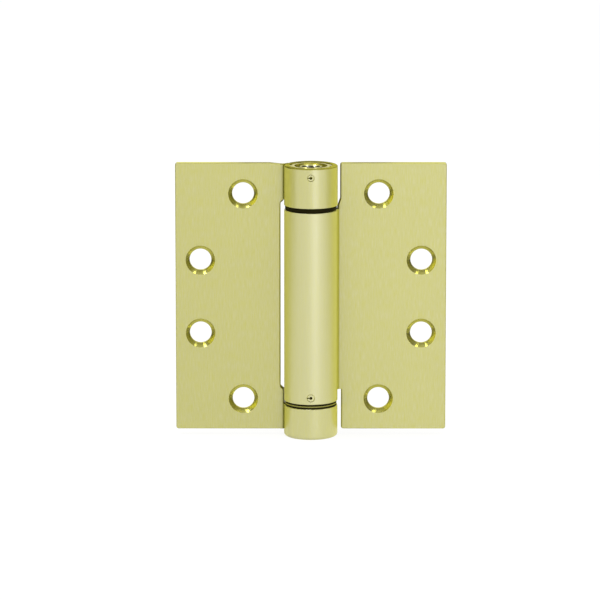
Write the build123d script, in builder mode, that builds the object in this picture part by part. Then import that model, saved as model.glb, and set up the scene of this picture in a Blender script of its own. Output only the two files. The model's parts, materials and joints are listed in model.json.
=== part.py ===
from build123d import *
import os
from math import ceil, radians, sqrt, tan

# Spring hinge, full mortise, 4 1/2 by 4 1/2 inches, open flat. Millimetres.
# X runs across the leaves, Y from the screwed face to the back, Z up the barrel.
# The origin is on the barrel's axis, halfway up the whole hinge.

# Leaves
leaf_height = 114.3
open_width = 114.3
leaf_thickness = 3.4
closed_gap = 1.6
corner_radius = 1.0
edge_chamfer = 0.3

# Barrel
barrel_radius = 11.3
top_drop = 0.6
bottom_overhang = 2.45
top_knuckle_height = 16.95
bottom_knuckle_height = 13.3
top_rim_round = 0.5
bottom_rim_round = 1.2
knuckle_edge_round = 0.2

# Slits between each leaf and the other leaf's knuckles, and the tongues that they leave
middle_slit_width = 1.5
upper_slit_width = 1.0
lower_slit_width = 1.5
middle_slit_rise = 0.6
middle_slit_foot = 5.7
upper_slit_foot = 2.4
lower_slit_rise = 4.4
middle_slit_slope = 42
upper_slit_slope = 70
slit_end_radius = 0.5
slit_bevel = 0.55
open_end = 3.0
tongue_clearance = 0.5
back_blend = 3.5
front_blend = 1.2
top_slope_length = 6.2
seam_width = 0.25
seam_groove_outer = 0.25
seam_groove_inner = 0.6
seam_groove_depth = 0.7

# Screw holes
inner_hole_x = 28.6
inner_hole_pitch = 88.2
outer_hole_x = 46.65
outer_hole_pitch = 31.4
hole_radius = 4.6
countersink_radius = 6.25
countersink_angle = 82

# Running and assembly clearances
journal_clearance = 0.05
press_clearance = 0.02
pin_clearance = 0.03
spring_clearance = 0.3
end_clearance = 0.1

# Tension spool
spool_top_recess = 0.25
mouth_depth = 1.9
mouth_step = 1.2
spool_groove_depth = 1.55
spool_groove_height = 3.3
journal_overrun = 0.5
key_width = 6.35
key_depth = 8.5
key_chamfer = 0.4
key_turn = 20
dish_rim = 2.1
dish_depth = 1.0
key_boss_radius = 4.6
key_boss_base_radius = 5.3
key_boss_height = 0.7
notch_count = 8
notch_radius = 1.1
notch_turn = 33

# Roll pins
spool_pin_radius = 1.5
spool_pin_drop = 3.8
anchor_pin_radius = 1.7
anchor_pin_rise = 2.9
pin_bore_radius = 0.65
pin_slit = 0.45
pin_recess = 0.12
pin_edge_chamfer = 0.25

# Bushes and washers
upper_bush_height = 8.0
upper_bush_wall = 1.93
lower_bush_height = 7.0
lower_bush_wall = 1.1
anchor_wall = 2.71
upper_washer_thickness = 2.0
seat_washer_thickness = 0.75
steel_washer_thickness = 0.45
nylon_washer_thickness = 0.8
washer_inset = 0.4
washer_clearance = 0.15
washer_rim_chamfer = 0.4

# Torsion spring of flat wire
wire_radial = 2.6
wire_axial = 3.4
coil_gap = 0.35
spring_wall_clearance = 0.45

# Spring anchor, lower pivot and bottom cap
anchor_base_height = 9.0
anchor_recess = 0.25
pivot_rise = 6.6
pivot_tip_chamfer = 0.6
cap_thickness = 1.8
cap_recess = 0.2
cap_edge_chamfer = 0.5

# Leaf lines that follow
leaf_mid = bottom_overhang / 2
leaf_top = leaf_mid + leaf_height / 2
leaf_bottom = leaf_mid - leaf_height / 2
leaf_front = closed_gap / 2
leaf_back = leaf_front + leaf_thickness
bore_radius = barrel_radius - leaf_thickness
tongue_inner = barrel_radius + tongue_clearance
tongue_reach = sqrt(tongue_inner**2 - leaf_back**2) - 2 * edge_chamfer

# Knuckle ends that follow
lower_washers = seat_washer_thickness + steel_washer_thickness + nylon_washer_thickness
top_high = leaf_top - top_drop
top_low = top_high - top_knuckle_height
middle_high = top_low - upper_washer_thickness
bottom_low = leaf_bottom - bottom_overhang
bottom_high = bottom_low + bottom_knuckle_height
middle_low = bottom_high + lower_washers

# Slit ends at the far edge from the barrel, and where plate and knuckle then become one
middle_slit_low = middle_low + middle_slit_foot
middle_slit_high = top_low + middle_slit_rise
upper_slit_low = top_low + upper_slit_foot
lower_slit_high = middle_low + lower_slit_rise
top_join_low = middle_slit_high + middle_slit_width * tan(radians(middle_slit_slope))

# Inner places that follow
mouth_floor = top_high - mouth_depth
spool_top = top_high - spool_top_recess
dish_floor = spool_top - dish_depth
boss_top = dish_floor + key_boss_height
spool_pin_height = top_high - spool_pin_drop
journal_bottom = middle_high - upper_bush_height - journal_overrun
anchor_pin_height = middle_low + anchor_pin_rise
anchor_bottom = middle_low + anchor_recess
anchor_shoulder = anchor_bottom + anchor_base_height
pivot_bottom = bottom_low + cap_recess + cap_thickness
plug_radius = bore_radius - press_clearance
lower_bush_outer = plug_radius - anchor_wall - press_clearance
pivot_radius = lower_bush_outer - lower_bush_wall - journal_clearance
journal_radius = plug_radius - upper_bush_wall - journal_clearance
mouth_radius = bore_radius + mouth_step
key_corner = key_width / sqrt(3)

# The spring fills the room between the anchor's shoulder and the journal
spring_outer = bore_radius - spring_wall_clearance
spring_inner = spring_outer - wire_radial
spring_mean = spring_outer - wire_radial / 2
stem_radius = spring_inner - spring_clearance
stem_height = wire_axial + end_clearance
spring_bottom = anchor_shoulder + end_clearance
spring_rise = journal_bottom - end_clearance - spring_bottom - wire_axial
spring_turns = ceil(spring_rise / (wire_axial + coil_gap)) - 1
spring_pitch = spring_rise / spring_turns


def front_plane(x, y, z):
    """A plane that faces the front of the hinge, for a hole or a pin."""
    return Plane(origin=(x, y, z), x_dir=(1, 0, 0), z_dir=(0, -1, 0))


def slit_outline(side, width, low, low_slope, high, high_slope):
    """A slit beside the barrel, seen from the front, with ends that slope away towards it."""
    edge = barrel_radius + width
    run = edge - tongue_reach
    with BuildSketch() as outline:
        with BuildLine():
            Polyline(
                (side * edge, low),
                (side * tongue_reach, low - run * tan(radians(low_slope))),
                (side * tongue_reach, high + run * tan(radians(high_slope))),
                (side * edge, high),
                close=True,
            )
        make_face()
        fillet([v for v in outline.vertices() if abs(abs(v.X) - edge) < 0.01], slit_end_radius)
    return outline.sketch


def hinge_leaf(side, knuckles, joins, slits, seam):
    """One leaf with its knuckles, on the left for side -1 and on the right for side 1.

    knuckles holds each tube's ends and the size of its rounded rims, joins the heights
    where plate and tube are one, and slits the gaps between the plate and the other leaf's
    knuckles, as slit_outline takes them. A seam is left open where the rolled sheet meets
    the plate.
    """
    blend_at = side * sqrt(barrel_radius**2 - leaf_back**2)
    front_at = side * sqrt(barrel_radius**2 - leaf_front**2)
    free_edge = open_width / 2
    tail = sqrt((barrel_radius + back_blend) ** 2 - (leaf_back + back_blend) ** 2) + edge_chamfer
    outlines = [slit_outline(side, *slit) for slit in slits]
    upright_edges = [free_edge] + [barrel_radius + slit[0] for slit in slits]

    def near(value, places):
        return any(abs(value - place) < 0.01 for place in places)

    with BuildPart() as leaf:
        # Flat plate with its slits, whose front edges are bevelled at 45 degrees
        with BuildSketch(Plane.XZ.offset(-leaf_back)) as blank:
            with Locations((side * (tongue_reach + free_edge) / 2, leaf_mid)):
                Rectangle(free_edge - tongue_reach, leaf_height)
            add(outlines, mode=Mode.SUBTRACT)
            if seam:
                with BuildLine():
                    Polyline(
                        (side * (barrel_radius + top_slope_length), leaf_top),
                        (side * tongue_inner, top_high),
                        (side * tongue_reach, top_high),
                        (side * tongue_reach, leaf_top),
                        close=True,
                    )
                make_face(mode=Mode.SUBTRACT)
            corners = [
                v
                for v in blank.vertices()
                if near(abs(v.X), upright_edges) and near(v.Y, (leaf_bottom, leaf_top))
            ]
            fillet(corners, corner_radius)
        extrude(amount=leaf_thickness)
        broad_faces = leaf.faces().filter_by(Axis.Y)
        chamfer([edge for face in broad_faces for edge in face.outer_wire().edges()], edge_chamfer)
        for outline in outlines:
            with BuildSketch(Plane.XZ.offset(-leaf_front)):
                add(outline)
                offset(amount=slit_bevel)
            extrude(amount=-slit_bevel, taper=45, mode=Mode.SUBTRACT)
        # Tongues hollowed to run round the other leaf's knuckles
        with BuildSketch(Plane.XY.offset(leaf_bottom)):
            Circle(tongue_inner)
        extrude(amount=leaf_height, mode=Mode.SUBTRACT)

        # Knuckle tubes, and the plate's edge wrapped into them
        for low, high, low_round, high_round in knuckles:
            with BuildSketch(Plane.XY.offset(low)):
                Circle(barrel_radius)
            extrude(amount=high - low)
        for low, high in joins:
            with BuildSketch(Plane.XY.offset(low)) as section:
                Circle(barrel_radius)
                with Locations((side * tail / 2, (leaf_front + leaf_back) / 2)):
                    Rectangle(tail, leaf_thickness)
                corner = section.vertices().sort_by_distance((blend_at, leaf_back, low))[0]
                fillet(corner, back_blend)
                if not seam:
                    corner = section.vertices().sort_by_distance((front_at, leaf_front, low))[0]
                    fillet(corner, front_blend)
            extrude(amount=high - low)

        # Bores, rounded rims and the seam
        for low, high, low_round, high_round in knuckles:
            with BuildSketch(Plane.XY.offset(low)):
                Circle(bore_radius)
            extrude(amount=high - low, mode=Mode.SUBTRACT)
            for rim, size, way in ((low, low_round, 1), (high, high_round, -1)):
                with BuildSketch(Plane.XZ):
                    with BuildLine():
                        RadiusArc(
                            (barrel_radius - size, rim),
                            (barrel_radius, rim + way * size),
                            way * -size,
                        )
                        Polyline(
                            (barrel_radius, rim + way * size),
                            (barrel_radius, rim),
                            (barrel_radius - size, rim),
                        )
                    make_face()
                revolve(axis=Axis.Z, mode=Mode.SUBTRACT)
            if seam:
                with BuildSketch(Plane.XY.offset(low)):
                    with BuildLine():
                        Polyline(
                            (side * (barrel_radius + seam_groove_outer), leaf_front - seam_width),
                            (side * (barrel_radius + seam_groove_outer), leaf_front),
                            (side * barrel_radius, leaf_front + seam_groove_depth),
                            (side * (barrel_radius - seam_groove_inner), leaf_front),
                            (side * stem_radius, leaf_front),
                            (side * stem_radius, leaf_front - seam_width),
                            close=True,
                        )
                    make_face()
                extrude(amount=high - low, mode=Mode.SUBTRACT)

        # Countersunk screw holes, two near the barrel and two near the free edge
        places = [(inner_hole_x, way * inner_hole_pitch / 2) for way in (1, -1)]
        places += [(outer_hole_x, way * outer_hole_pitch / 2) for way in (1, -1)]
        with Locations(*(front_plane(side * x, leaf_front, leaf_mid + z) for x, z in places)):
            CounterSinkHole(hole_radius, countersink_radius, counter_sink_angle=countersink_angle)
    return leaf


def pin_hole(radius, height):
    """A round hole through the front wall of the barrel, made in the part being built."""
    with Locations(front_plane(0, -barrel_radius, height)):
        Hole(radius, depth=barrel_radius - stem_radius)


def roll_pin(radius, height, tip):
    """A slit spring pin from just inside the barrel's surface in to the distance tip."""
    with BuildPart() as pin:
        with BuildSketch(front_plane(0, -tip, height)):
            Circle(radius)
            Circle(pin_bore_radius, mode=Mode.SUBTRACT)
            with Locations((-radius, 0)):
                Rectangle(2 * radius, pin_slit, mode=Mode.SUBTRACT)
        extrude(amount=barrel_radius - pin_recess - tip)
        rims = pin.edges().filter_by(GeomType.CIRCLE).filter_by(lambda edge: edge.radius > pin_bore_radius)
        chamfer(rims, pin_edge_chamfer)
    return pin


def washer(low, thickness, inner, rim=0.0):
    """A flat ring about the barrel's axis, with its rim broken by the size rim."""
    with BuildPart() as ring:
        with BuildSketch(Plane.XY.offset(low)):
            Circle(barrel_radius - washer_inset)
            Circle(inner, mode=Mode.SUBTRACT)
        extrude(amount=thickness)
        if rim:
            chamfer(ring.edges().filter_by(GeomType.CIRCLE).group_by(SortBy.RADIUS)[-1], rim)
    return ring


def sleeve(low, height, inner, outer):
    """A plain bush about the barrel's axis."""
    with BuildPart() as bush:
        with BuildSketch(Plane.XY.offset(low)):
            Circle(outer)
            Circle(inner, mode=Mode.SUBTRACT)
        extrude(amount=height)
    return bush


def leg_slot(face_height, depth):
    """A slot across the end of a stem that takes the straight leg of the spring."""
    with BuildSketch(Plane.XY.offset(face_height)) as slot:
        Rectangle(2 * stem_radius, wire_radial + 2 * spring_clearance)
    extrude(slot.sketch, amount=depth, mode=Mode.SUBTRACT)


def save(piece, name):
    """Label a finished piece and write its file."""
    piece.part.label = name
    export_step(piece.part, f"parts/{name}.step")


os.makedirs("parts", exist_ok=True)

# Frame leaf, on the left, with the top and bottom knuckles
frame_blank = hinge_leaf(
    side=-1,
    knuckles=[
        (top_low, top_high, knuckle_edge_round, top_rim_round),
        (bottom_low, bottom_high, bottom_rim_round, knuckle_edge_round),
    ],
    joins=[(top_join_low, top_high), (leaf_bottom, bottom_high)],
    slits=[(middle_slit_width, middle_slit_low, middle_slit_slope, middle_slit_high, middle_slit_slope)],
    seam=True,
)
with BuildPart() as frame_leaf:
    add(frame_blank.part)
    # Mouth of the top knuckle, where the spool's flange sits
    with BuildSketch(Plane.XY.offset(mouth_floor)):
        Circle(mouth_radius)
    extrude(amount=mouth_depth, mode=Mode.SUBTRACT)
    pin_hole(spool_pin_radius, spool_pin_height)
save(frame_leaf, "frame_leaf")

# Door leaf, on the right, with the long middle knuckle that houses the spring
door_blank = hinge_leaf(
    side=1,
    knuckles=[(middle_low, middle_high, knuckle_edge_round, knuckle_edge_round)],
    joins=[(lower_slit_high, middle_high)],
    slits=[
        (upper_slit_width, upper_slit_low, upper_slit_slope, leaf_top + open_end, 0),
        (lower_slit_width, leaf_bottom - open_end, 0, lower_slit_high, 0),
    ],
    seam=False,
)
with BuildPart() as door_leaf:
    add(door_blank.part)
    pin_hole(anchor_pin_radius, anchor_pin_height)
save(door_leaf, "door_leaf")

# Tension spool: flange in the mouth, collar in the top bore, journal in the upper bush
flange_radius = mouth_radius - journal_clearance
collar_radius = bore_radius - journal_clearance
spool_groove_radius = collar_radius - spool_groove_depth
dish_radius = flange_radius - dish_rim
collar_bottom = top_low + end_clearance
groove_top = spool_pin_height + spool_groove_height / 2
groove_bottom = spool_pin_height - spool_groove_height / 2
with BuildPart() as tension_spool:
    with BuildSketch(Plane.XZ):
        with BuildLine():
            Polyline(
                (0, journal_bottom - stem_height),
                (stem_radius, journal_bottom - stem_height),
                (stem_radius, journal_bottom),
                (journal_radius, journal_bottom),
                (journal_radius, collar_bottom),
                (collar_radius, collar_bottom),
                (collar_radius, groove_bottom),
                (spool_groove_radius, groove_bottom),
                (spool_groove_radius, groove_top),
                (collar_radius, groove_top),
                (collar_radius, mouth_floor),
                (flange_radius, mouth_floor),
                (flange_radius, spool_top),
                (dish_radius, spool_top),
                (dish_radius, dish_floor),
                (key_boss_base_radius, dish_floor),
                (key_boss_radius, boss_top),
                (0, boss_top),
                close=True,
            )
        make_face()
    revolve(axis=Axis.Z)
    # Hexagonal key socket with a chamfered mouth
    with BuildSketch(Plane.XY.offset(boss_top)):
        RegularPolygon(key_width / 2, 6, major_radius=False, rotation=key_turn)
    extrude(amount=-key_depth, mode=Mode.SUBTRACT)
    with BuildSketch(Plane.XZ):
        with BuildLine():
            Polyline(
                (0, boss_top),
                (key_corner + key_chamfer, boss_top),
                (0, boss_top - key_corner - key_chamfer),
                close=True,
            )
        make_face()
    revolve(axis=Axis.Z, mode=Mode.SUBTRACT)
    # Notches round the flange for the lock pin
    with BuildSketch(Plane.XY.offset(mouth_floor)):
        with PolarLocations(flange_radius, notch_count, start_angle=notch_turn):
            Circle(notch_radius)
    extrude(amount=mouth_depth, mode=Mode.SUBTRACT)
    leg_slot(journal_bottom - stem_height, stem_height)
save(tension_spool, "tension_spool")

# Roll pin that keeps the spool in the top knuckle by its groove
spool_pin = roll_pin(
    radius=spool_pin_radius - pin_clearance,
    height=spool_pin_height,
    tip=spool_groove_radius + spring_clearance,
)
save(spool_pin, "spool_retaining_pin")

# Nylon thrust washer between the top and middle knuckles
upper_thrust_washer = washer(
    middle_high, upper_washer_thickness, journal_radius + washer_clearance, washer_rim_chamfer
)
save(upper_thrust_washer, "upper_thrust_washer")

# Bush in the top of the middle knuckle, running on the spool's journal
upper_bush = sleeve(
    middle_high - upper_bush_height, upper_bush_height, journal_radius + journal_clearance, plug_radius
)
save(upper_bush, "upper_bush")

# Torsion spring of flat wire, wound left-handed, so that it tightens as the spool is turned
# clockwise. A straight leg at each end is bent in across the axis.
with BuildPart() as torsion_spring:
    with BuildLine():
        coil = Helix(
            pitch=spring_pitch,
            height=spring_rise,
            radius=spring_mean,
            center=(0, 0, spring_bottom + wire_axial / 2),
            lefthand=True,
        )
    with BuildSketch(Plane.XZ):
        with Locations((spring_mean, spring_bottom + wire_axial / 2)):
            Rectangle(wire_radial, wire_axial)
    sweep(path=coil, is_frenet=True)
    for low in (spring_bottom, spring_bottom + spring_rise):
        with BuildSketch(Plane.XY.offset(low)):
            with Locations(((spring_outer - stem_radius) / 2, 0)):
                Rectangle(spring_outer + stem_radius, wire_radial)
        extrude(amount=wire_axial)
save(torsion_spring, "torsion_spring")

# Spring anchor, pinned in the lower end of the middle knuckle
with BuildPart() as spring_anchor:
    with BuildSketch(Plane.XY.offset(anchor_bottom)):
        Circle(plug_radius)
    extrude(amount=anchor_base_height)
    with BuildSketch(Plane.XY.offset(anchor_shoulder)):
        Circle(stem_radius)
    extrude(amount=stem_height)
    with BuildSketch(Plane.XY.offset(anchor_bottom)):
        Circle(lower_bush_outer + press_clearance)
    extrude(amount=lower_bush_height, mode=Mode.SUBTRACT)
    pin_hole(anchor_pin_radius, anchor_pin_height)
    leg_slot(anchor_shoulder, stem_height)
save(spring_anchor, "spring_anchor")

# Roll pin that locks the anchor to the middle knuckle
anchor_pin = roll_pin(
    radius=anchor_pin_radius - pin_clearance,
    height=anchor_pin_height,
    tip=lower_bush_outer + spring_clearance,
)
save(anchor_pin, "anchor_pin")

# Bush in the anchor, running on the lower pivot
lower_bush = sleeve(anchor_bottom, lower_bush_height, pivot_radius + journal_clearance, lower_bush_outer)
save(lower_bush, "lower_bush")

# Three washers between the middle and bottom knuckles, steel between nylon
washer_bore = pivot_radius + washer_clearance
seat_washer = washer(bottom_high, seat_washer_thickness, washer_bore)
save(seat_washer, "lower_seat_washer")
steel_washer_low = bottom_high + seat_washer_thickness
steel_washer = washer(steel_washer_low, steel_washer_thickness, washer_bore)
save(steel_washer, "lower_steel_washer")
nylon_washer = washer(steel_washer_low + steel_washer_thickness, nylon_washer_thickness, washer_bore)
save(nylon_washer, "lower_thrust_washer")

# Lower pivot: a base pressed in the bottom knuckle and a journal that enters the lower bush
with BuildPart() as lower_pivot:
    with BuildSketch(Plane.XY.offset(pivot_bottom)):
        Circle(plug_radius)
    extrude(amount=bottom_high - pivot_bottom)
    with BuildSketch(Plane.XY.offset(bottom_high)):
        Circle(pivot_radius)
    extrude(amount=lower_washers + anchor_recess + pivot_rise)
    chamfer(lower_pivot.edges().group_by(Axis.Z)[-1], pivot_tip_chamfer)
save(lower_pivot, "lower_pivot")

# Cap that closes the bottom knuckle
with BuildPart() as bottom_cap:
    with BuildSketch(Plane.XY.offset(pivot_bottom - cap_thickness)):
        Circle(plug_radius)
    extrude(amount=cap_thickness)
    chamfer(bottom_cap.edges().group_by(Axis.Z)[0], cap_edge_chamfer)
save(bottom_cap, "bottom_cap")
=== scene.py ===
import json
from math import radians

import bmesh
import bpy
from mathutils import Matrix, Vector


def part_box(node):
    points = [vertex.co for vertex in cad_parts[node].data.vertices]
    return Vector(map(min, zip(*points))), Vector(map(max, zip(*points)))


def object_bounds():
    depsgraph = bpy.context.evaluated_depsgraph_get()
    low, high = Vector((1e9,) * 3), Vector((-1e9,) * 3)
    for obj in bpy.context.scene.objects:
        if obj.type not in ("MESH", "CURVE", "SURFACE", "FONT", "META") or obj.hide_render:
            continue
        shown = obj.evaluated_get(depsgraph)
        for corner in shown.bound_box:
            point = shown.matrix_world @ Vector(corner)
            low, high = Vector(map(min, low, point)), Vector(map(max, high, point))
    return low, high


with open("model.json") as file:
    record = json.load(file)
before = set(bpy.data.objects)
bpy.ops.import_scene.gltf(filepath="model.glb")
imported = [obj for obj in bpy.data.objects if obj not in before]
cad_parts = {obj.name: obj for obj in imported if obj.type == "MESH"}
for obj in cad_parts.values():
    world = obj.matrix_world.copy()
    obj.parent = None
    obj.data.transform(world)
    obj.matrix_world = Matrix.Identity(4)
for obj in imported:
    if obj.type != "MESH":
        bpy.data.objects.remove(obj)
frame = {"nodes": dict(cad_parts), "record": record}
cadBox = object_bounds()
nodes = frame["nodes"]
record = frame["record"]
mounts = {mount["name"]: mount for mount in record["mounts"]}
print("frame loaded:", len(nodes), "parts")


# Small helpers for node trees

def putNode(tree, kind, **settings):
    node = tree.nodes.new(kind)
    for key, value in settings.items():
        setattr(node, key, value)
    return node


# Inputs are given by name, or by number as in _0, and a socket as value makes a link
def fill(tree, node, **inputs):
    for key, value in inputs.items():
        socket = node.inputs[int(key[1:])] if key[0] == "_" else node.inputs[key.replace("_", " ")]
        if isinstance(value, bpy.types.NodeSocket):
            tree.links.new(value, socket)
        else:
            socket.default_value = value
    return node


def maths(tree, operation, *values):
    node = putNode(tree, "ShaderNodeMath", operation=operation)
    fill(tree, node, **{f"_{i}": v for i, v in enumerate(values)})
    return node.outputs[0]


# The overlap of two masks
def both(tree, one, other):
    return maths(tree, "MULTIPLY", one, other)


def length(tree, across, up):
    return maths(tree, "SQRT", maths(tree, "ADD", maths(tree, "MULTIPLY", across, across),
                                     maths(tree, "MULTIPLY", up, up)))


def ownPlace(tree):
    return putNode(tree, "ShaderNodeTexCoord").outputs["Object"]


def parted(tree, vector):
    return fill(tree, putNode(tree, "ShaderNodeSeparateXYZ"), Vector=vector).outputs


# Coordinates squeezed along an axis, which draws out whatever reads them along that axis
def stretched(tree, vector, scale):
    node = putNode(tree, "ShaderNodeMapping", vector_type="POINT")
    fill(tree, node, Vector=vector, Scale=scale)
    return node.outputs[0]


def noise(tree, vector, scale, detail=2.0, roughness=0.5):
    node = putNode(tree, "ShaderNodeTexNoise", noise_dimensions="3D")
    fill(tree, node, Vector=vector, Scale=scale, Detail=detail, Roughness=roughness)
    return node.outputs[0]


def ranged(tree, value, low, high, newLow, newHigh):
    node = putNode(tree, "ShaderNodeMapRange")
    fill(tree, node, _0=value, _1=low, _2=high, _3=newLow, _4=newHigh)
    return node.outputs[0]


noiseSpan = (0.3, 0.7)  # nearly all of a noise's values lie between these


def spread(tree, grain, low, high):
    return ranged(tree, grain, *noiseSpan, low, high)


# The Mix node has its pair of numbers at inputs 2 and 3, and its pair of colours at 6 and 7
def blend(tree, share, below, above, kind="FLOAT"):
    first = 2 if kind == "FLOAT" else 6
    node = putNode(tree, "ShaderNodeMix", data_type=kind)
    fill(tree, node, _0=share, **{f"_{first}": below, f"_{first + 1}": above})
    return node.outputs[0 if kind == "FLOAT" else 2]


def bumped(tree, height, strength, depth):
    node = putNode(tree, "ShaderNodeBump")
    fill(tree, node, Strength=strength, Distance=depth, Height=height)
    return node.outputs[0]


def newMaterial(name):
    material = bpy.data.materials.new(name)
    material.use_nodes = True
    tree = material.node_tree
    return material, tree, tree.nodes["Principled BSDF"]


# A group that reads coordinates and a few numbers, and puts out masks or patterns
def newGroup(name, numbers, outputs):
    group = bpy.data.node_groups.new(name, "ShaderNodeTree")
    group.interface.new_socket("Vector", in_out="INPUT", socket_type="NodeSocketVector")
    for label in numbers:
        group.interface.new_socket(label, in_out="INPUT", socket_type="NodeSocketFloat")
    for label in outputs:
        group.interface.new_socket(label, in_out="OUTPUT", socket_type="NodeSocketFloat")
    return group, group.nodes.new("NodeGroupInput"), group.nodes.new("NodeGroupOutput")


def useGroup(tree, group, **inputs):
    return fill(tree, putNode(tree, "ShaderNodeGroup", node_tree=group), **inputs).outputs


# Brushing up the barrel: long fine scratches, short streaks half a millimetre wide, and slow clouds

brushMarks = {
    "scratchSqueeze": (1.0, 1.0, 0.015),
    "scratchDetail": 3.0,
    "scratchRoughness": 0.6,
    "streakSqueeze": (1.0, 1.0, 0.09),
    "streakDetail": 2.5,
    "streakRoughness": 0.65,
    "cloudScale": 40.0,
    "cloudDetail": 1.0,
}


def brushingGroup(marks):
    group, ends, out = newGroup("brushing", ["Scratch Scale", "Streak Scale"],
                                ["Scratches", "Streaks", "Clouds"])
    place = ends.outputs["Vector"]
    scratches = noise(group, stretched(group, place, marks["scratchSqueeze"]), ends.outputs["Scratch Scale"],
                      marks["scratchDetail"], marks["scratchRoughness"])
    streaks = noise(group, stretched(group, place, marks["streakSqueeze"]), ends.outputs["Streak Scale"],
                    marks["streakDetail"], marks["streakRoughness"])
    clouds = noise(group, place, marks["cloudScale"], marks["cloudDetail"])
    fill(group, out, Scratches=scratches, Streaks=streaks, Clouds=clouds)
    return group


# Zones of a leaf: its barrel, told by the distance from the axis, its cut edges, its countersinks,
# the barrel's top end, the bevelled gap beside the barrel and the line where the two meet.
# The top end, the gap and that line carry painted shade, and the countersinks partly so

barrelRadius = -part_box("frame_leaf")[0].y
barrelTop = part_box("tension_spool")[1].z
leafBack = mounts["frame_leaf_back"]["pos_m"][1]
boltHoles = [mount for mount in record["mounts"] if mount["kind"] == "bolt_pattern"]
leafMiddle = boltHoles[0]["pos_m"][2]
# Each pair of holes, by its distance from the axis and half its spacing, in metres as all sizes here
holePlaces = sorted({(abs(m["pos_m"][0]), m["dims"]["spacing_y_mm"] / 2000) for m in boltHoles})

zones = {
    "barrelBlend": 0.0006,
    "rimBlend": 0.0003,
    "leafThickness": 0.0034,
    "faceDepth": 0.00003,  # how far below a face its zone ends
    "sinkRadius": 0.00625,
    "sinkBlend": 0.0002,
    "creviceReach": (-0.00065, 0.0016),  # from the barrel's radius
    "creviceDepth": 0.0014,
    "joinGap": 0.0002,  # from the barrel's radius to the middle of the line
    "joinReach": (0.0002, 0.0009),
}


def zoneGroup(sizes):
    group, ends, out = newGroup("zones", ["Side"], ["Barrel", "Edge", "Sink", "Rim", "Crevice", "Join"])
    x, y, z = parted(group, ends.outputs["Vector"])
    leafFront = leafBack - sizes["leafThickness"]
    barrel = ranged(group, length(group, x, y), barrelRadius, barrelRadius + sizes["barrelBlend"], 1.0, 0.0)
    # Painted shade: the barrel's top end is painted darker, without coat
    rimShade = both(group, barrel, ranged(group, z, barrelTop - sizes["rimBlend"], barrelTop, 0.0, 1.0))

    # Countersinks and cut edges lie between the leaf's two faces
    behindFront = ranged(group, y, leafFront, leafFront + sizes["faceDepth"], 0.0, 1.0)
    within = both(group, behindFront, maths(group, "LESS_THAN", y, leafBack - sizes["faceDepth"]))
    across = maths(group, "ABSOLUTE", x)
    up = maths(group, "ABSOLUTE", maths(group, "SUBTRACT", z, leafMiddle))
    holeGaps = [length(group, maths(group, "SUBTRACT", across, holeX), maths(group, "SUBTRACT", up, holeZ))
                for holeX, holeZ in holePlaces]
    nearHole = ranged(group, maths(group, "MINIMUM", *holeGaps), sizes["sinkRadius"],
                      sizes["sinkRadius"] + sizes["sinkBlend"], 1.0, 0.0)
    sink = both(group, nearHole, within)
    edge = both(group, within, maths(group, "SUBTRACT", 1.0, maths(group, "MAXIMUM", nearHole, barrel)))

    # Painted shade in the gap and along the meeting line, on the leaf's own side of the axis
    own = maths(group, "MULTIPLY", x, ends.outputs["Side"])
    inner, outer = (barrelRadius + reach for reach in sizes["creviceReach"])
    beside = maths(group, "COMPARE", own, (inner + outer) / 2, (outer - inner) / 2)
    shallow = maths(group, "LESS_THAN", y, leafFront + sizes["creviceDepth"])
    creviceShade = both(group, beside, both(group, behindFront, shallow))
    # Painted shade along the line where the leaf meets the barrel
    joinSpan = maths(group, "ABSOLUTE", maths(group, "SUBTRACT", own, barrelRadius + sizes["joinGap"]))
    inFront = maths(group, "LESS_THAN", y, leafFront + sizes["faceDepth"])
    joinShade = both(group, ranged(group, joinSpan, *sizes["joinReach"], 1.0, 0.0), inFront)
    fill(group, out, Barrel=barrel, Edge=edge, Sink=sink, Rim=rimShade, Crevice=creviceShade, Join=joinShade)
    return group


# Turning: fine rings about an axis along Z, for what came off a lathe
def turningGroup():
    group, ends, out = newGroup("turning", ["Ring Scale"], ["Rings"])
    x, y, z = parted(group, ends.outputs["Vector"])
    ring = fill(group, putNode(group, "ShaderNodeCombineXYZ"), X=length(group, x, y), Z=z)
    fill(group, out, Rings=noise(group, ring.outputs[0], ends.outputs["Ring Scale"]))
    return group


brushing = brushingGroup(brushMarks)
zoning = zoneGroup(zones)
turning = turningGroup()


# Satin brass plate on steel, for the leaves, the roll pins, the cap and one washer

satinBrass = {
    "side": 1,  # the leaf's side of the axis: 1 is the door leaf's
    "dark": (0.59, 0.565, 0.075, 1),
    "pale": (0.66, 0.635, 0.093, 1),
    "toneShares": (0.65, 0.25, 0.1),  # of the streaks, scratches and clouds
    "edgeTint": (1.0, 0.93, 0.4, 1),
    # A pair goes from the lowest of the streaks to the highest
    "roughness": (0.6, 0.8),
    "leafCoat": (0.36, 0.8),
    "barrelCoat": (0.84, 1.0),
    "sinkRoughness": 0.16,
    "anisotropy": 0.8,
    "coatRoughness": 0.44,
    "coatIor": 3.3,
    # Colour and coat of each zone, each laid over the ones before it
    "zoneLooks": {
        "Edge": ((0.51, 0.49, 0.07, 1), 0.35),
        # the countersinks' machined finish, with painted shade of the recess in its darker colour
        "Sink": ((0.42, 0.4, 0.055, 1), 0.25),
        # painted shade on the barrel's top end
        "Rim": ((0.36, 0.34, 0.05, 1), 0.0),
        # painted shade along the line where the leaf meets the barrel
        "Join": ((0.47, 0.45, 0.06, 1), 0.1),
        # painted shade in the gap beside the barrel
        "Crevice": ((0.24, 0.22, 0.02, 1), 0.0),
    },
    "scratchScale": 2600.0,
    "streakScale": 2500.0,
    "scratchStrength": 0.6,
    "scratchDepth": 0.000012,
}
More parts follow.
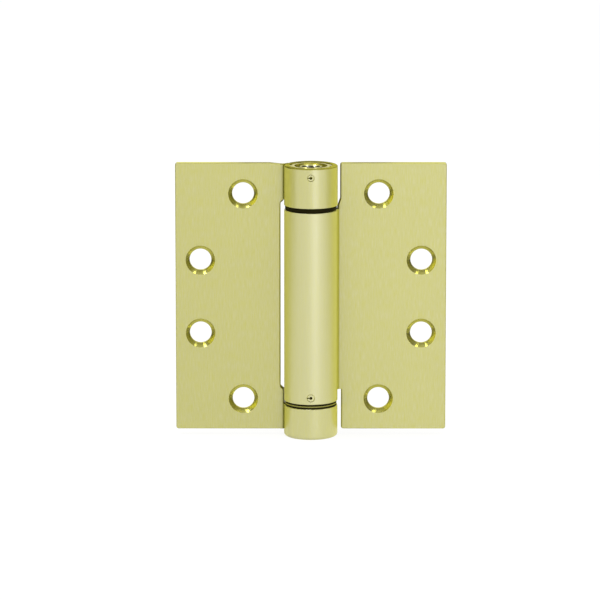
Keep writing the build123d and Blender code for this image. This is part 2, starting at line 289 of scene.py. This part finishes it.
# The frame leaf's knuckles shine a little more narrowly, and the thin washer is painted darker, as painted
# shade in its narrow gap
frameBrass = {**satinBrass, "side": -1, "barrelCoat": (0.68, 0.88), "coatRoughness": 0.32}
shadedWasherBrass = {**satinBrass, "dark": (0.3, 0.28, 0.03, 1), "pale": (0.4, 0.38, 0.05, 1),
               "barrelCoat": (0.1, 0.2)}


def makeSatinBrass(name, finish):
    material, tree, shader = newMaterial(name)
    place = ownPlace(tree)
    scratches, streaks, clouds = useGroup(tree, brushing, Vector=place, Scratch_Scale=finish["scratchScale"],
                                          Streak_Scale=finish["streakScale"])
    zone = useGroup(tree, zoning, Vector=place, Side=finish["side"])
    streakShare, scratchShare, cloudShare = finish["toneShares"]
    tone = maths(tree, "ADD", spread(tree, streaks, 0.0, streakShare),
                 maths(tree, "ADD", spread(tree, scratches, 0.0, scratchShare),
                       spread(tree, clouds, 0.0, cloudShare)))
    colour = blend(tree, tone, finish["dark"], finish["pale"], "RGBA")
    coat = blend(tree, zone["Barrel"], spread(tree, streaks, *finish["leafCoat"]),
                 spread(tree, streaks, *finish["barrelCoat"]))
    # The zone colours paint shade onto the barrel's top end, the gap and the meeting line, and partly onto
    # the countersinks
    for label, (zoneColour, zoneCoat) in finish["zoneLooks"].items():
        colour = blend(tree, zone[label], colour, zoneColour, "RGBA")
        coat = blend(tree, zone[label], coat, zoneCoat)
    roughness = blend(tree, zone["Sink"], spread(tree, streaks, *finish["roughness"]),
                      finish["sinkRoughness"])
    roundAxis = putNode(tree, "ShaderNodeTangent", direction_type="RADIAL", axis="Z")
    fill(tree, shader, Base_Color=colour, Metallic=1.0, Specular_Tint=finish["edgeTint"], Roughness=roughness,
         Anisotropic=finish["anisotropy"], Tangent=roundAxis.outputs[0],
         Normal=bumped(tree, scratches, finish["scratchStrength"], finish["scratchDepth"]),
         Coat_Weight=coat, Coat_Roughness=finish["coatRoughness"], Coat_IOR=finish["coatIor"])
    return material


# Metals with fine rings: the turned spool, bushes, anchor and pivot, and the wire of the spring

socketMouth = mounts["tension_key"]["pos_m"][2]
brightBrass = {
    "colour": (0.55, 0.52, 0.1, 1),
    "dull": (0.42, 0.39, 0.05, 1),
    "edgeTint": (0.9, 0.85, 0.4, 1),
    "roughness": (0.22, 0.34),
    "coat": 0.5,
    "coatRoughness": 0.2,
    "coatIor": 2.6,
    "ringScale": 3200.0,
    "ringStrength": 0.5,
    "ringDepth": 0.00001,
    # Painted shade: the key's socket is painted dark from half a millimetre below its mouth
    "well": {"radius": 0.0041, "fade": (0.000025, 0.000525), "shade": (0.02, 0.018, 0.004, 1)},
}
plainMetal = {
    "edgeTint": (1, 1, 1, 1),
    "coat": 0.0,
    "coatRoughness": 0.1,
    "coatIor": 1.5,
    "ringScale": 2600.0,
    "ringStrength": 0.5,
    "ringDepth": 0.00001,
    "well": None,
}
bronze = {**plainMetal, "colour": (0.5, 0.28, 0.12, 1), "dull": (0.42, 0.23, 0.1, 1),
          "roughness": (0.35, 0.5)}
brightSteel = {**plainMetal, "colour": (0.56, 0.56, 0.56, 1), "dull": (0.45, 0.45, 0.46, 1),
               "roughness": (0.25, 0.4)}
springSteel = {**plainMetal, "colour": (0.17, 0.17, 0.18, 1), "dull": (0.12, 0.12, 0.13, 1),
               "roughness": (0.35, 0.5), "ringScale": 900.0}


def makeTurnedMetal(name, finish):
    material, tree, shader = newMaterial(name)
    place = ownPlace(tree)
    rings = useGroup(tree, turning, Vector=place, Ring_Scale=finish["ringScale"])["Rings"]
    colour = blend(tree, spread(tree, rings, 0.0, 1.0), finish["dull"], finish["colour"], "RGBA")
    well = finish["well"]
    if well:
        # Painted shade down inside the key's socket
        x, y, z = parted(tree, place)
        inside = maths(tree, "LESS_THAN", length(tree, x, y), well["radius"])
        lit, dark = (socketMouth - drop for drop in well["fade"])
        deep = ranged(tree, z, dark, lit, 1.0, 0.0)
        colour = blend(tree, both(tree, inside, deep), colour, well["shade"], "RGBA")
    fill(tree, shader, Base_Color=colour, Metallic=1.0, Specular_Tint=finish["edgeTint"],
         Roughness=spread(tree, rings, *finish["roughness"]),
         Normal=bumped(tree, rings, finish["ringStrength"], finish["ringDepth"]),
         Coat_Weight=finish["coat"], Coat_Roughness=finish["coatRoughness"], Coat_IOR=finish["coatIor"])
    return material


# Black nylon, for the thrust and seat washers

nylon = {
    "colour": (0.005, 0.0042, 0.001, 1),
    "glossTint": (1.0, 0.85, 0.25, 1),
    "gloss": 0.12,
    "roughness": (0.45, 0.6),
    "grainScale": 3500.0,
    "grainDetail": 3.0,
    "grainStrength": 0.5,
    "grainDepth": 0.000008,
}


def makeNylon(name, finish):
    material, tree, shader = newMaterial(name)
    grain = noise(tree, ownPlace(tree), finish["grainScale"], finish["grainDetail"])
    fill(tree, shader, Base_Color=finish["colour"], Specular_IOR_Level=finish["gloss"],
         Specular_Tint=finish["glossTint"], Roughness=spread(tree, grain, *finish["roughness"]),
         Normal=bumped(tree, grain, finish["grainStrength"], finish["grainDepth"]))
    return material


finishes = {
    "satin_brass": makeSatinBrass("satinBrassFinish", satinBrass),
    "plated_pin": makeSatinBrass("platedPinFinish", satinBrass),
    "bright_brass": makeTurnedMetal("turnedBrassFinish", brightBrass),
    "bronze": makeTurnedMetal("bronzeFinish", bronze),
    "bright_steel": makeTurnedMetal("brightSteelFinish", brightSteel),
    "spring_steel": makeTurnedMetal("springSteelFinish", springSteel),
    "black_nylon": makeNylon("blackNylonFinish", nylon),
}
ownFinishes = {
    "frame_leaf": makeSatinBrass("frameBrassFinish", frameBrass),
    # the thin washer's painted shade
    "lower_steel_washer": makeSatinBrass("washerBrassFinish", shadedWasherBrass),
}
for part in record["subparts"]:
    finish = ownFinishes.get(part["node"], finishes[part["material_slot"]])
    nodes[part["node"]].data.materials[0] = finish
print("finishes made")


# Floor, light and camera

studio = {
    "floorSize": (30.0, 30.0),
    "floorColour": (0.93, 0.93, 0.93, 1),
    "floorRoughness": 0.9,
    "floorGloss": 0.1,
    "floorGlow": 0.85,
    "floorGlowStrength": 1.05,
    "worldStrength": 0.75,
    "keyPower": 13.0,
    "keySize": (0.7, 1.3),
    "keyPlace": (0.62, -1.75, 0.35),
    "sidePowers": {-1: 6.0, 1: 2.5},  # left and right
    "sideSize": (0.5, 0.28),
    "sidePlace": (0.62, -0.02, 1.3),  # to each side, back and up
    "flagPlace": (0.4, 0.6, 0.05),  # to each side, back and up
    "flagSize": (0.9, 1.5),
    "flagShade": (0.24, 0.24, 0.24, 1),
}


# Rays that show the background: those of the camera, and those that metal and glass send on
def seenRays(tree):
    path = putNode(tree, "ShaderNodeLightPath")
    return maths(tree, "MAXIMUM", path.outputs["Is Camera Ray"],
                 maths(tree, "MAXIMUM", path.outputs["Is Glossy Ray"], path.outputs["Is Transmission Ray"]))


def makeCard(name, size, place, material, upright=False):
    bm = bmesh.new()
    bmesh.ops.create_grid(bm, x_segments=1, y_segments=1, size=0.5)  # a metre square, before its size
    bmesh.ops.scale(bm, verts=bm.verts, vec=(*size, 1.0))
    if upright:
        bmesh.ops.rotate(bm, verts=bm.verts, matrix=Matrix.Rotation(radians(90), 3, "Y"))
    bmesh.ops.translate(bm, verts=bm.verts, vec=place)
    mesh = bpy.data.meshes.new(name)
    bm.to_mesh(mesh)
    bm.free()
    mesh.materials.append(material)
    card = bpy.data.objects.new(name, mesh)
    bpy.context.scene.collection.objects.link(card)
    return card


def makeFloor():
    material, tree, shader = newMaterial("floorPaper")
    fill(tree, shader, Base_Color=studio["floorColour"], Roughness=studio["floorRoughness"],
         Specular_IOR_Level=studio["floorGloss"])
    glow = fill(tree, putNode(tree, "ShaderNodeEmission"), Color=(1, 1, 1, 1),
                Strength=studio["floorGlowStrength"])
    share = ranged(tree, seenRays(tree), 0.0, 1.0, 0.0, studio["floorGlow"])
    paper = fill(tree, putNode(tree, "ShaderNodeMixShader"), _0=share, _1=shader.outputs[0],
                 _2=glow.outputs[0])
    fill(tree, tree.nodes["Material Output"], Surface=paper.outputs[0])
    makeCard("floor", studio["floorSize"], (0, 0, cadBox[0].z), material)


# Grey cards behind and beside the hinge that only reflections see, to darken the barrel's sides
def makeFlags():
    material, tree, shader = newMaterial("flagCard")
    fill(tree, shader, Base_Color=studio["flagShade"], Roughness=1.0, Specular_IOR_Level=0.0)
    away, back, up = studio["flagPlace"]
    for side in (-1, 1):
        flag = makeCard(f"flag{side}", studio["flagSize"], (side * away, back, up), material, upright=True)
        flag.visible_camera = flag.visible_diffuse = flag.visible_shadow = flag.visible_transmission = False


def makeLamp(name, power, size, place):
    lamp = bpy.data.lights.new(name, "AREA")
    lamp.shape = "RECTANGLE"
    lamp.size, lamp.size_y = size
    lamp.energy = power
    holder = bpy.data.objects.new(name, lamp)
    bpy.context.scene.collection.objects.link(holder)
    holder.location = place
    holder.rotation_euler = (-Vector(place)).to_track_quat("-Z", "Y").to_euler()


def makeLamps():
    makeLamp("keyBox", studio["keyPower"], studio["keySize"], studio["keyPlace"])
    away, back, up = studio["sidePlace"]
    for side, power in studio["sidePowers"].items():
        makeLamp(f"sideBox{side}", power, studio["sideSize"], (side * away, back, up))


def makeWorld():
    world = bpy.data.worlds.new("studio")
    bpy.context.scene.world = world
    world.use_nodes = True
    tree = world.node_tree
    strength = ranged(tree, seenRays(tree), 0.0, 1.0, studio["worldStrength"], 1.0)
    fill(tree, tree.nodes["Background"], Color=(1, 1, 1, 1), Strength=strength)


camera = {
    "place": (-0.00155, -1.85505, 0.36315),
    "pitch": 11.078,  # degrees down
    "turn": 0.094,  # degrees to the left
    "lens": 268.3,
    "sensor": 36.0,
}


def makeCamera():
    eye = bpy.data.cameras.new("camera")
    eye.lens = camera["lens"]
    eye.sensor_width = camera["sensor"]
    holder = bpy.data.objects.new("camera", eye)
    bpy.context.scene.collection.objects.link(holder)
    holder.location = camera["place"]
    holder.rotation_euler = (radians(90 - camera["pitch"]), 0, radians(camera["turn"]))
    bpy.context.scene.camera = holder


makeFloor()
makeFlags()
makeLamps()
makeWorld()
makeCamera()
bpy.context.scene.view_settings.view_transform = "Standard"
print("studio made")
